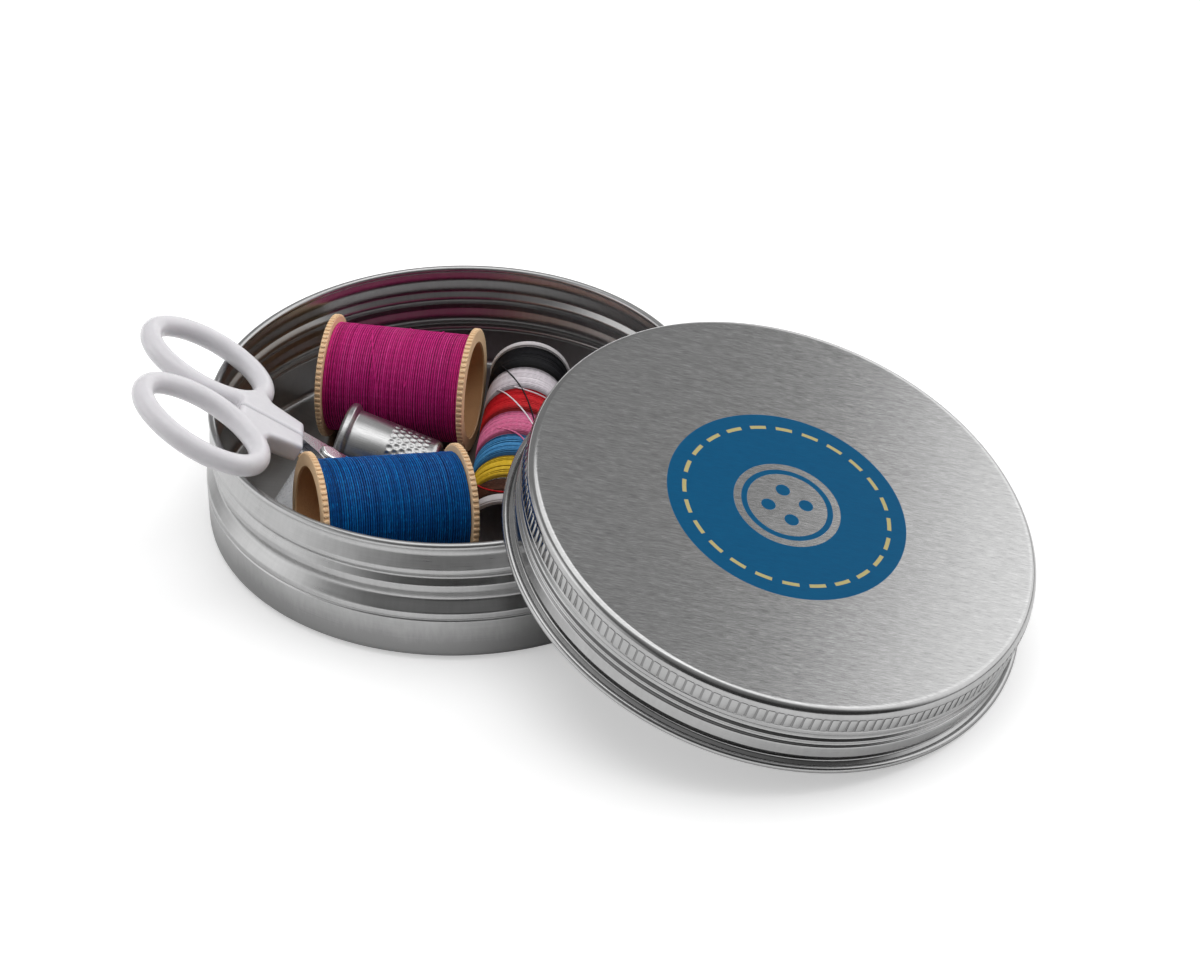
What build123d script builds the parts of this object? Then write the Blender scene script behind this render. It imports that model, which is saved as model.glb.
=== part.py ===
from build123d import *
from math import asin, atan2, cos, degrees, hypot, radians, sin, sqrt, tan
import os

# A round screw-top sewing tin, open, with its lid leaning on the rim and its contents inside.
# Millimetres and degrees. The origin is the centre of the tin's underside, +Z is up, +X is to the
# right and +Y is away from the side that the lid slopes down to.

# ---- tin: pressed sheet with a rolled rim and two screw ridges ----
TIN_HEIGHT = 23.0
BODY_RADIUS = 44.7
NECK_RADIUS = 42.9
THREAD_RADIUS = 43.6
SHEET = 0.35
RIM_CURL = 0.65
BASE_CORNER = 1.5
SHOULDER_HEIGHT = 9.8
SHOULDER_GROOVE = 0.45
SHOULDER_GROOVE_WIDTH = 1.2
SHOULDER_RISE = 2.5
TIN_RIDGES = ((13.9, 1.6), (17.0, 1.4))  # height of each ridge's middle, half of its width
FOLD = 0.45  # bend of the sheet's outside

# ---- lid: the same sheet, made to turn over the tin's ridges ----
LID_DEPTH = 13.8
THREAD_CLEARANCE = 0.05
LID_TOP_CORNER = 1.2
LID_GROOVE = 0.5
LID_GROOVES = ((1.9, 0.9), (5.9, 0.6), (8.0, 0.6))  # height of each groove's middle, half its width
LIP_REACH = 1.3
LIP_CURL = 0.65
LID_TILT = 17.24
LID_HEADING = -36.14

# ---- reels of thread: two alike ----
FLANGE_RADIUS = 11.3
FLANGE_THICKNESS = 1.1
FLANGE_EDGE = 0.25
REEL_LENGTH = 27.2
REEL_CORE_RADIUS = 9.3
REEL_BORE_RADIUS = 8.9
THREAD_RADIUS_ON_REEL = 9.85
MAGENTA_HEADING = -13.2
MAGENTA_AWAY = 21.3
BLUE_HEADING = 14.5
BLUE_DROP = 8.0
BLUE_WALL_BEARING = -123.2

# ---- paper tube wound with seven short bands of thread ----
TUBE_RADIUS = 7.0
TUBE_WALL = 0.6
BAND_RADIUS = 7.4
TUBE_HEADING = -97.3
TUBE_FRONT = -20.4
TUBE_FRONT_MARGIN = 1.9
TUBE_BACK_MARGIN = 1.3
BAND_WIDTHS = {
    "brown": 5.0,
    "yellow": 6.6,
    "light_blue": 6.4,
    "pink": 7.2,
    "red": 7.3,
    "white": 7.0,
    "black": 6.9,
}

# ---- thimble ----
THIMBLE_LENGTH = 17.9
THIMBLE_RIM_RADIUS = 7.8
THIMBLE_MOUTH_RADIUS = 6.9
THIMBLE_TIP_RADIUS = 5.9
THIMBLE_WALL = 0.5
THIMBLE_RIM_WIDTH = 1.9
THIMBLE_TIP_ROUND = 1.3
THIMBLE_EDGE = 0.5
THIMBLE_HEADING = -16.5
THIMBLE_ACROSS = -21.2

# ---- clear sleeve: a flat packet on the tin's floor, under the thimble's rim ----
SLEEVE_THICKNESS = 1.45
SLEEVE_LENGTH = 20.0
SLEEVE_WIDTH = 11.6
SLEEVE_WALL = 0.3
SLEEVE_HEADING = 70.7
SLEEVE_ACROSS = -27.1
SLEEVE_AWAY = -0.6

# ---- scissors: two moulded handles, two blades and a rivet ----
SCISSORS_HEADING = 175.76
SCISSORS_PITCH = 33.22
SCISSORS_ROLL = 9.16
LOOP_LONG = 11.3
LOOP_SHORT = 9.6
LOOP_END_BEND = 8.4
LOOP_TWIST = -8.6
LOOP_DISTANCE = 18.8
RIM_REST_BEARING = 162.1
LOOP_REST_TURN = 109.5
ROD_RADIUS = 1.9
HANDLE_GAP = 0.12
SHANK_THICKNESS = 3.7
SHANK_END_WIDTH = 4.4
SHANK_ROOT_WIDTH = 6.0
SHANK_LENGTH = 12.5
SHANK_EDGE = 0.8
BLADE_THICKNESS = 0.9
BLADE_GAP = 0.04
BLADE_LENGTH = 25.0
BLADE_ROOT_WIDTH = 5.0
BLADE_EDGE_LENGTH = 20.0
BLADE_TIP_WIDTH = 0.9
BLADE_BACK_LENGTH = 12.5
BLADE_BACK_WIDTH = 2.1
BLADE_TURN = 6.0
PIVOT_DISTANCE = 5.75
PIVOT_BOSS_RADIUS = 2.9
TANG_LENGTH = 6.5
TANG_WIDTH = 2.4
RIVET_RADIUS = 1.1
RIVET_HEAD_RADIUS = 2.1
RIVET_HEAD_HEIGHT = 0.6
RIVET_HEAD_ROUND = 0.48

# ---- clearances ----
REST_GAP = 0.05  # between a loose piece and what it lies on or against
LID_GAP = 0.05  # between the lid's lip and the tin's rim where they cross
WRAP_GAP = 0.02  # between wound thread and what it is wound on
RIVET_GAP = 0.03  # around the rivet, in both blades
TUBE_GAP = 0.6  # between the paper tube and the magenta reel
THIMBLE_GAP = 0.55  # between the thimble's collar and the magenta thread, so that the reel lifts out past it


# ---- shapes ----
def turned(outline):
    """A solid about Z from a section drawn with its radius along X and its height along Y."""
    return revolve(Plane.XZ * outline, Axis.Z)


def curl(middle, height, radius):
    """A rolled edge about Z."""
    return turned(Pos(middle, height) * Circle(radius))


def tube(inner, outer, low, high):
    """A plain tube about Z."""
    return extrude(Plane.XY.offset(low) * (Circle(outer) - Circle(inner)), high - low)


def waves(base, crest, marks):
    """The corners of the ridges or grooves that a wall makes on its way up."""
    corners = []
    for height, half_width in marks:
        corners.append((base, height - half_width))
        corners.append((crest, height - half_width / 2))
        corners.append((crest, height + half_width / 2))
        corners.append((base, height + half_width))
    return corners


def rounded(points, bends):
    """Lines through the points with each point but the ends rounded to its bend radius."""
    pieces = []
    start = points[0]
    for before, corner, after, bend in zip(points, points[1:], points[2:], bends):
        back = (before - corner).normalized()
        ahead = (after - corner).normalized()
        half_angle = radians(back.get_angle(ahead) / 2)
        arc_start = corner + back * (bend / tan(half_angle))
        arc_end = corner + ahead * (bend / tan(half_angle))
        arc_middle = corner + (back + ahead).normalized() * (bend / sin(half_angle) - bend)
        pieces += [Line(start, arc_start), ThreePointArc(arc_start, arc_middle, arc_end)]
        start = arc_end
    return pieces + [Line(start, points[-1])]


def pressed(corners, bends):
    """A turned sheet whose outside follows the corners, with the sheet's thickness on its left."""
    outside = [Vector(*corner) for corner in corners]
    runs = [(end - start).normalized() for start, end in zip(outside, outside[1:])]
    lefts = [Vector(-run.Y, run.X) for run in runs]
    inside = [outside[0] + lefts[0] * SHEET]
    inner_bends = []
    for corner, left, next_left, run, bend in zip(outside[1:], lefts, lefts[1:], runs, bends):
        inside.append(corner + (left + next_left) * (SHEET / (1 + left.dot(next_left))))
        turns_left = run.dot(next_left) < 0
        inner_bends.append(bend - SHEET if turns_left else bend + SHEET)
    inside.append(outside[-1] + lefts[-1] * SHEET)
    section = rounded(outside, bends) + rounded(inside, inner_bends)
    section += [Line(outside[0], inside[0]), Line(outside[-1], inside[-1])]
    return turned(make_face(section))


# ---- directions and places ----
def heading(bearing, rise=0.0):
    """A unit vector from its bearing and its rise above the level."""
    level = cos(radians(rise))
    return Vector(level * cos(radians(bearing)), level * sin(radians(bearing)), sin(radians(rise)))


def laid(solid, centre, direction):
    """A solid made about Z from the origin up, with its axis laid from the centre along the direction."""
    return Plane(origin=centre, z_dir=direction).location * solid


def disc_reach(radius, axis, direction):
    """How far a disc square to the axis reaches along a direction."""
    return radius * sqrt(max(0.0, 1 - axis.dot(direction) ** 2))


floor_top = SHEET
rim_ring = THREAD_RADIUS - RIM_CURL
rim_ring_height = TIN_HEIGHT - RIM_CURL
lid_radius = THREAD_RADIUS + THREAD_CLEARANCE + SHEET
lip_ring = lid_radius + LIP_REACH - LIP_CURL

# The lid stands on the table at its low side, and its lip crosses the rim at two points.
tilt = radians(LID_TILT)
lid_up = heading(LID_HEADING, 90 - LID_TILT)
lid_downhill = heading(LID_HEADING, -LID_TILT)
lip_middle_height = LIP_CURL + lip_ring * sin(tilt)
lip_crossing_height = rim_ring_height + (RIM_CURL + LIP_CURL) / cos(tilt) + LID_GAP
crossing_uphill = (lip_crossing_height - lip_middle_height) / sin(tilt)
crossing_aside = sqrt(lip_ring**2 - crossing_uphill**2)
lid_distance = crossing_uphill * cos(tilt) + sqrt(rim_ring**2 - crossing_aside**2)
lip_middle = heading(LID_HEADING) * lid_distance + Vector(0, 0, lip_middle_height)
lid_centre = lip_middle - lid_up * LIP_CURL

# The blue reel's right end lies on the floor and its left end is up beside the wall, just clear of the
# rolled rim.
half_reel = REEL_LENGTH / 2
blue_axis = heading(BLUE_HEADING, -BLUE_DROP)
blue_height = (
    floor_top + REST_GAP + FLANGE_RADIUS * cos(radians(BLUE_DROP)) + half_reel * sin(radians(BLUE_DROP))
)
blue_corner = blue_axis * -half_reel + heading(BLUE_HEADING - 90) * FLANGE_RADIUS
blue_touch = heading(BLUE_WALL_BEARING) * (rim_ring - RIM_CURL - REST_GAP)
blue_centre = Vector(blue_touch.X - blue_corner.X, blue_touch.Y - blue_corner.Y, blue_height)
blue_end = blue_centre + blue_axis * half_reel

# The paper tube lies on the floor, its front end beside the blue reel's right flange.
tube_axis = heading(TUBE_HEADING)
tube_length = TUBE_FRONT_MARGIN + sum(BAND_WIDTHS.values()) + TUBE_BACK_MARGIN
tube_height = floor_top + REST_GAP + BAND_RADIUS
tube_clear = disc_reach(BAND_RADIUS, tube_axis, blue_axis) + REST_GAP
tube_aside = tube_clear - (TUBE_FRONT - blue_end.Y) * blue_axis.Y - (tube_height - blue_end.Z) * blue_axis.Z
tube_front = Vector(blue_end.X + tube_aside / blue_axis.X, TUBE_FRONT, tube_height)
tube_back = tube_front - tube_axis * tube_length

# The magenta reel lies on the floor, its right flange beside the paper tube.
magenta_axis = heading(MAGENTA_HEADING)
magenta_height = floor_top + REST_GAP + FLANGE_RADIUS
magenta_clear = disc_reach(BAND_RADIUS, tube_axis, magenta_axis) + TUBE_GAP + half_reel
magenta_aside = (tube_back.Y - MAGENTA_AWAY) * magenta_axis.Y - magenta_clear
magenta_centre = Vector(tube_back.X + magenta_aside / magenta_axis.X, MAGENTA_AWAY, magenta_height)

# The thimble's collar lies on the sleeve and its tip on the floor, close beside the magenta thread.
sleeve_top = floor_top + REST_GAP + SLEEVE_THICKNESS
taper = atan2(THIMBLE_MOUTH_RADIUS - THIMBLE_TIP_RADIUS, THIMBLE_LENGTH - THIMBLE_RIM_WIDTH)
tip_bend_middle = THIMBLE_TIP_RADIUS + THIMBLE_TIP_ROUND * (tan(taper) - 1 / cos(taper))
collar_low = THIMBLE_RIM_WIDTH - THIMBLE_EDGE
rest_run = THIMBLE_LENGTH - THIMBLE_TIP_ROUND - collar_low
rest_fall = THIMBLE_RIM_RADIUS - tip_bend_middle
rest_rise = sleeve_top - floor_top - THIMBLE_TIP_ROUND
drop = atan2(rest_fall, rest_run) + asin(rest_rise / hypot(rest_fall, rest_run))
thimble_axis = heading(THIMBLE_HEADING, -degrees(drop))
thimble_height = sleeve_top + REST_GAP + THIMBLE_RIM_RADIUS * cos(drop) + collar_low * sin(drop)
thimble_apart = THREAD_RADIUS_ON_REEL + THIMBLE_RIM_RADIUS + THIMBLE_GAP
thimble_apart_level = sqrt(thimble_apart**2 - (magenta_height - thimble_height) ** 2)
magenta_front = heading(MAGENTA_HEADING - 90)
thimble_along = (THIMBLE_ACROSS - magenta_centre.X - magenta_front.X * thimble_apart_level) / magenta_axis.X
thimble_rim_centre = (
    Vector(magenta_centre.X, magenta_centre.Y, thimble_height)
    + magenta_front * thimble_apart_level
    + magenta_axis * thimble_along
)

# The scissors lie with the far finger loop across the rim and the blades down between reel and thimble.
# Their own frame has X from the shank's end to the loops, Y to the near loop and Z out of the flat.
grip = heading(SCISSORS_HEADING, SCISSORS_PITCH)
level_side = heading(SCISSORS_HEADING + 90)
flat_up = level_side.cross(grip) * -1
near_side = level_side * cos(radians(SCISSORS_ROLL)) + flat_up * sin(radians(SCISSORS_ROLL))
flat_out = grip.cross(near_side)
loop_side_bend = ((LOOP_LONG - LOOP_END_BEND) ** 2 + LOOP_SHORT**2 - LOOP_END_BEND**2) / (
    2 * (LOOP_SHORT - LOOP_END_BEND)
)
side_bend_offset = loop_side_bend - LOOP_SHORT
twist = radians(LOOP_TWIST)
loop_half_width = loop_side_bend - side_bend_offset * cos(twist)
loop_aside = loop_half_width + ROD_RADIUS + HANDLE_GAP / 2
rest_turn = radians(LOOP_REST_TURN)
rest_along = LOOP_DISTANCE + side_bend_offset * sin(twist) + loop_side_bend * cos(rest_turn)
rest_aside = loop_aside - side_bend_offset * cos(twist) + loop_side_bend * sin(rest_turn)
rod_along = grip * sin(rest_turn) + near_side * cos(rest_turn)
rim_along = heading(RIM_REST_BEARING + 90)
touch_out = rod_along.cross(rim_along).normalized()
rim_rest = heading(RIM_REST_BEARING) * rim_ring + Vector(0, 0, rim_ring_height)
rod_rest = rim_rest + touch_out * (RIM_CURL + ROD_RADIUS + REST_GAP)
shank_end = rod_rest - grip * rest_along + near_side * rest_aside
scissors_place = Plane(origin=shank_end, x_dir=grip, z_dir=flat_out).location


# ---- tin ----
def tin_base():
    corners = [(0, 0), (BODY_RADIUS, 0)]
    corners += [(BODY_RADIUS, SHOULDER_HEIGHT - SHOULDER_GROOVE_WIDTH)]
    corners += [(BODY_RADIUS - SHOULDER_GROOVE, SHOULDER_HEIGHT - SHOULDER_GROOVE_WIDTH / 2)]
    corners += [(BODY_RADIUS, SHOULDER_HEIGHT)]
    corners += [(NECK_RADIUS, SHOULDER_HEIGHT + SHOULDER_RISE)]
    corners += waves(NECK_RADIUS, THREAD_RADIUS, TIN_RIDGES)[1:]
    corners += [(NECK_RADIUS, rim_ring_height)]
    bends = [BASE_CORNER] + [FOLD] * (len(corners) - 3)
    return pressed(corners, bends) + curl(rim_ring, rim_ring_height, RIM_CURL)


# ---- lid ----
def lid_shell():
    corners = [(lip_ring, LIP_CURL)]
    corners += waves(lid_radius, lid_radius - LID_GROOVE, LID_GROOVES)[1:]
    corners += [(lid_radius, LID_DEPTH), (0, LID_DEPTH)]
    bends = [FOLD] * (len(corners) - 3) + [LID_TOP_CORNER]
    shell = pressed(corners, bends) + curl(lip_ring, LIP_CURL, LIP_CURL)
    return Plane(origin=lid_centre, x_dir=lid_downhill, z_dir=lid_up).location * shell


# ---- reels ----
def reel():
    flanges = tube(REEL_BORE_RADIUS, FLANGE_RADIUS, 0, FLANGE_THICKNESS)
    flanges += tube(REEL_BORE_RADIUS, FLANGE_RADIUS, REEL_LENGTH - FLANGE_THICKNESS, REEL_LENGTH)
    edges = flanges.edges().filter_by(GeomType.CIRCLE)
    rims = edges.filter_by(lambda edge: edge.radius > REEL_CORE_RADIUS)
    return chamfer(rims, FLANGE_EDGE) + tube(REEL_BORE_RADIUS, REEL_CORE_RADIUS, 0, REEL_LENGTH)


def reel_thread():
    low = FLANGE_THICKNESS + WRAP_GAP
    return tube(REEL_CORE_RADIUS + WRAP_GAP, THREAD_RADIUS_ON_REEL, low, REEL_LENGTH - low)


# ---- paper tube and its bands ----
def roll_tube():
    return tube(TUBE_RADIUS - TUBE_WALL, TUBE_RADIUS, 0, tube_length)


def bands():
    """Each band's colour and solid, from the front end to the back."""
    start = TUBE_FRONT_MARGIN
    for colour, width in BAND_WIDTHS.items():
        yield colour, tube(TUBE_RADIUS + WRAP_GAP, BAND_RADIUS, start, start + width)
        start += width


# ---- thimble ----
def thimble():
    rim = THIMBLE_RIM_WIDTH
    outline = Polyline(
        (0, THIMBLE_LENGTH),
        (THIMBLE_TIP_RADIUS, THIMBLE_LENGTH),
        (THIMBLE_MOUTH_RADIUS, rim),
        (THIMBLE_MOUTH_RADIUS, 0),
        (0, 0),
        close=True,
    )
    body = turned(make_face(outline))
    tip = body.edges().filter_by(GeomType.CIRCLE).sort_by(Axis.Z)[-1]
    body = fillet(tip, THIMBLE_TIP_ROUND)
    hollow = Polyline(
        (0, THIMBLE_LENGTH - THIMBLE_WALL),
        (THIMBLE_TIP_RADIUS - THIMBLE_WALL - THIMBLE_TIP_ROUND / 2, THIMBLE_LENGTH - THIMBLE_WALL),
        (THIMBLE_TIP_RADIUS - THIMBLE_WALL, THIMBLE_LENGTH - THIMBLE_WALL - THIMBLE_TIP_ROUND / 2),
        (THIMBLE_MOUTH_RADIUS - THIMBLE_WALL, rim),
        (THIMBLE_MOUTH_RADIUS - THIMBLE_WALL, 0),
        (0, 0),
        close=True,
    )
    collar = tube(THIMBLE_MOUTH_RADIUS - THIMBLE_WALL, THIMBLE_RIM_RADIUS, 0, rim)
    edges = collar.edges().filter_by(GeomType.CIRCLE)
    outer = edges.filter_by(lambda edge: edge.radius > THIMBLE_MOUTH_RADIUS)
    return body + chamfer(outer, THIMBLE_EDGE) - turned(make_face(hollow))


# ---- clear sleeve ----
def clear_sleeve():
    packet = Box(SLEEVE_LENGTH, SLEEVE_WIDTH, SLEEVE_THICKNESS)
    wall = 2 * SLEEVE_WALL
    room = Box(SLEEVE_LENGTH, SLEEVE_WIDTH - wall, SLEEVE_THICKNESS - wall)
    middle = floor_top + REST_GAP + SLEEVE_THICKNESS / 2
    return Pos(SLEEVE_ACROSS, SLEEVE_AWAY, middle) * Rot(0, 0, SLEEVE_HEADING) * (packet - room)


# ---- scissors ----
# The near half is drawn with Y positive; the far half is its mirror image.
def blade(side):
    """One flat blade with its tang; side is 1 for the near handle's and -1 for the far handle's."""
    low = BLADE_GAP / 2 if side < 0 else -BLADE_GAP / 2 - BLADE_THICKNESS
    tang_inner = HANDLE_GAP / 2 + SHANK_EDGE
    tang = Polyline(
        (TANG_LENGTH, tang_inner),
        (TANG_LENGTH, tang_inner + TANG_WIDTH),
        (0, tang_inner + TANG_WIDTH),
        (-PIVOT_DISTANCE, PIVOT_BOSS_RADIUS),
        (-PIVOT_DISTANCE, -PIVOT_BOSS_RADIUS),
        (0, tang_inner - SHANK_EDGE / 2),
        (0, tang_inner),
        close=True,
    )
    root = BLADE_ROOT_WIDTH / 2
    edge = Polyline(
        (0, root),
        (0, -root),
        (-BLADE_EDGE_LENGTH, -BLADE_TIP_WIDTH),
        (-BLADE_LENGTH, 0),
        (-BLADE_BACK_LENGTH, BLADE_BACK_WIDTH),
        close=True,
    )
    outline = make_face(tang) + Pos(-PIVOT_DISTANCE, 0) * Circle(PIVOT_BOSS_RADIUS)
    cutting = Rot(0, 0, BLADE_TURN * side) * make_face(edge)
    outline += Pos(-PIVOT_DISTANCE, 0) * cutting
    outline -= Pos(-PIVOT_DISTANCE, 0) * Circle(RIVET_RADIUS + RIVET_GAP)
    if side < 0:
        outline = mirror(outline, Plane.XZ)
    return extrude(Plane.XY.offset(low) * outline, BLADE_THICKNESS)


def finger_loop():
    """A round rod bent into an oval of four arcs about the origin, long along X."""
    half_end_turn = degrees(atan2(LOOP_LONG - LOOP_END_BEND, side_bend_offset))
    end_turn = 180 - 2 * half_end_turn
    end_middle = LOOP_LONG - LOOP_END_BEND
    arcs = [
        CenterArc((end_middle, 0), LOOP_END_BEND, -end_turn / 2, end_turn),
        CenterArc((0, -side_bend_offset), loop_side_bend, end_turn / 2, 180 - end_turn),
        CenterArc((-end_middle, 0), LOOP_END_BEND, 180 - end_turn / 2, end_turn),
        CenterArc((0, side_bend_offset), loop_side_bend, 180 + end_turn / 2, 180 - end_turn),
    ]
    rods = [sweep(Plane(origin=arc @ 0, z_dir=arc % 0) * Circle(ROD_RADIUS), path=arc) for arc in arcs]
    return rods[0] + rods[1:]


def handle(side):
    """One finger loop with its half of the shank, and a pocket for the blade's tang."""
    inner = HANDLE_GAP / 2
    shank = Polyline(
        (0, inner),
        (0, SHANK_END_WIDTH),
        (SHANK_LENGTH / 2, SHANK_ROOT_WIDTH),
        (LOOP_DISTANCE - LOOP_LONG + ROD_RADIUS / 2, loop_aside - ROD_RADIUS),
        (SHANK_LENGTH, LOOP_SHORT / 2),
        (SHANK_LENGTH, inner),
        close=True,
    )
    bar = extrude(Plane.XY.offset(-SHANK_THICKNESS / 2) * make_face(shank), SHANK_THICKNESS)
    ends = bar.faces().filter_by(Axis.Z).edges()
    bar = chamfer(ends, SHANK_EDGE / 2)
    rod = Location((LOOP_DISTANCE, loop_aside, 0), (0, 0, LOOP_TWIST)) * finger_loop()
    half = bar + rod
    if side < 0:
        half = mirror(half, Plane.XZ)
    return half - blade(side)


def rivet():
    """A pin through both blades with a domed head above and below."""
    reach = BLADE_THICKNESS + BLADE_GAP
    head = Pos(0, 0, reach + RIVET_HEAD_HEIGHT / 2) * Cylinder(RIVET_HEAD_RADIUS, RIVET_HEAD_HEIGHT)
    head = fillet(head.edges().sort_by(Axis.Z)[-1], RIVET_HEAD_ROUND)
    shaft = Cylinder(RIVET_RADIUS, 2 * reach)
    return Pos(-PIVOT_DISTANCE, 0, 0) * (shaft + head + mirror(head, Plane.XY))


# ---- assembly ----
parts = {
    "tin_base": tin_base(),
    "lid_shell": lid_shell(),
    "spool_magenta": laid(reel(), magenta_centre - magenta_axis * half_reel, magenta_axis),
    "thread_magenta": laid(reel_thread(), magenta_centre - magenta_axis * half_reel, magenta_axis),
    "spool_blue": laid(reel(), blue_centre - blue_axis * half_reel, blue_axis),
    "thread_blue": laid(reel_thread(), blue_centre - blue_axis * half_reel, blue_axis),
    "roll_tube": laid(roll_tube(), tube_front, tube_axis * -1),
    "thimble": laid(thimble(), thimble_rim_centre, thimble_axis),
    "clear_sleeve": clear_sleeve(),
    "handle_far": scissors_place * handle(-1),
    "blade_far": scissors_place * blade(-1),
    "handle_near": scissors_place * handle(1),
    "blade_near": scissors_place * blade(1),
    "rivet": scissors_place * rivet(),
}
for band_colour, band in bands():
    parts["band_" + band_colour] = laid(band, tube_front, tube_axis * -1)

os.makedirs("parts", exist_ok=True)
for node, solid in parts.items():
    export_step(solid, "parts/" + node + ".step")
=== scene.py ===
import math
import bmesh
import bpy
import numpy as np
from mathutils import Matrix, Vector


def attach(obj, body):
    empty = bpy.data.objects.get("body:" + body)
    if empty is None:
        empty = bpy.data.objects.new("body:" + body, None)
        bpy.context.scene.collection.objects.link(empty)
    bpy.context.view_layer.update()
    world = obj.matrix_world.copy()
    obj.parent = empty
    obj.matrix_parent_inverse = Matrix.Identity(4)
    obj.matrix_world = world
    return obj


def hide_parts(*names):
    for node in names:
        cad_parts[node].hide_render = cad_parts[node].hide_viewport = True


# An open sewing tin with its lid leaning on the rim. Pieces are drawn in millimetres about their own
# Z axis, then laid in their places in metres. Each keeps its own drawing coordinates in the attribute
# "own", which its materials read.

MM = 0.001
TURN = 2 * math.pi
AROUND = 288  # how many faces the large round pieces have round their axis

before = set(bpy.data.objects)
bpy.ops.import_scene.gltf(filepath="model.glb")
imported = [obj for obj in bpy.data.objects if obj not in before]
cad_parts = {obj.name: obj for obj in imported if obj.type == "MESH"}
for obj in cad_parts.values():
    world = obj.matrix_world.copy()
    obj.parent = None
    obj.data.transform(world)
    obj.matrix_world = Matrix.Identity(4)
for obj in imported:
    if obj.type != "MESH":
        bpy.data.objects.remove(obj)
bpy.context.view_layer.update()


# ---- places: where each piece's own origin is, which way its Z points, and its X where it matters ----
def heading(bearing, rise=0.0):
    """A unit vector from its bearing and its rise above the level, in degrees."""
    bearing, rise = math.radians(bearing), math.radians(rise)
    return Vector((math.cos(rise) * math.cos(bearing), math.cos(rise) * math.sin(bearing), math.sin(rise)))


def place(origin, z_axis, x_axis=None):
    """The matrix that lays a piece drawn about Z."""
    z = Vector(z_axis).normalized()
    x = Vector(x_axis) if x_axis is not None else Vector((0, 0, 1)).cross(z)
    if x.length < 1e-6:
        x = Vector((1, 0, 0))
    x = (x - z * x.dot(z)).normalized()
    y = z.cross(x)
    matrix = Matrix((x, y, z)).transposed().to_4x4()
    matrix.translation = Vector(origin)
    return matrix


LID_TILT = 17.24
LID_HEADING = -36.14
REEL_LENGTH = 27.2
ROLL_LENGTH = 49.6
UPRIGHT = place((0, 0, 0), (0, 0, 1), (1, 0, 0))
LID_AXIS = heading(LID_HEADING, 90 - LID_TILT)
LID_PLACE = place((50.598, -36.951, 13.262), LID_AXIS, heading(LID_HEADING, -LID_TILT))
MAGENTA_AXIS = heading(-13.2)
BLUE_AXIS = heading(14.5, -8.0)
MAGENTA_PLACE = place(Vector((-10.103, 21.300, 11.700)) - MAGENTA_AXIS * REEL_LENGTH / 2, MAGENTA_AXIS)
BLUE_PLACE = place(Vector((-12.925, -21.041, 13.483)) - BLUE_AXIS * REEL_LENGTH / 2, BLUE_AXIS)
ROLL_PLACE = place((7.499, -20.4, 7.8), heading(82.7))
THIMBLE_PLACE = place((-21.2, 5.309, 9.819), heading(-16.5, -math.degrees(0.21542)))


# ---- sections: lines with rounded corners, as points of (radius, height) ----
def bent(corners, bends, steps=5):
    """Points along the corners' lines, with each inner corner turned on an arc of its bend radius."""
    points = [Vector(c) for c in corners]
    path = [points[0]]
    for before, corner, after, bend in zip(points, points[1:], points[2:], bends):
        back, ahead = (before - corner).normalized(), (after - corner).normalized()
        half = back.angle(ahead) / 2
        room = (before - corner).length * (0.95 if before is points[0] else 0.48)
        room = min(room, (after - corner).length * (0.95 if after is points[-1] else 0.48))
        reach = min(bend / math.tan(half), room)
        curve = reach * math.tan(half)
        middle = corner + (back + ahead).normalized() * (curve / math.sin(half))
        first = (corner + back * reach - middle).normalized()
        last = (corner + ahead * reach - middle).normalized()
        for step in range(steps + 1):
            path.append(middle + first.slerp(last, step / steps) * curve)
    path.append(points[-1])
    return supported(path)


def supported(path, near=0.12):
    """The path with an extra point near both ends of each long run, which keeps the run's shading flat."""
    held = [path[0]]
    for start, end in zip(path, path[1:]):
        run = end - start
        if run.length > 4 * near:
            held.append(start + run.normalized() * near)
            held.append(end - run.normalized() * near)
        held.append(end)
    return [(max(0.0, p.x), p.y) for p in held]


def beside(path, distance):
    """The path moved to its left by a distance."""
    points = [Vector(p) for p in path]
    moved = []
    for i, point in enumerate(points):
        run = (points[min(i + 1, len(points) - 1)] - points[max(i - 1, 0)]).normalized()
        moved.append((max(0.0, point.x - run.y * distance), point.y + run.x * distance))
    return moved


def disc(centre, radius, steps=20):
    """The closed section of a rolled edge."""
    angles = [TURN * i / steps for i in range(steps)]
    return [(centre[0] + radius * math.cos(a), centre[1] + radius * math.sin(a)) for a in angles]


def waves(base, crest, marks):
    """The corners of the ridges or grooves that a wall makes on its way up."""
    corners = []
    for height, half_width in marks:
        corners += [(base, height - half_width), (crest, height - half_width / 2)]
        corners += [(crest, height + half_width / 2), (base, height + half_width)]
    return corners


# ---- meshes ----
def plain_mesh(name, vertices, faces):
    mesh = bpy.data.meshes.new(name)
    mesh.from_pydata([tuple(v) for v in vertices], [], faces)
    return mesh


def turned(name, section, segments, closed=False):
    """A mesh of the section turned about Z; a point on the axis becomes a pole."""
    vertices, rings, faces = [], [], []
    for radius, height in section:
        start = len(vertices)
        if radius < 1e-6:
            vertices.append((0.0, 0.0, height))
            rings.append([start] * segments)
            continue
        for i in range(segments):
            angle = TURN * i / segments
            vertices.append((radius * math.cos(angle), radius * math.sin(angle), height))
        rings.append(list(range(start, start + segments)))
    pairs = list(zip(rings, rings[1:] + rings[:1])) if closed else list(zip(rings, rings[1:]))
    for low, high in pairs:
        for i in range(segments):
            j = (i + 1) % segments
            corners = list(dict.fromkeys((low[i], low[j], high[j], high[i])))
            if len(corners) > 2:
                faces.append(corners)
    return plain_mesh(name, vertices, faces)


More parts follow.
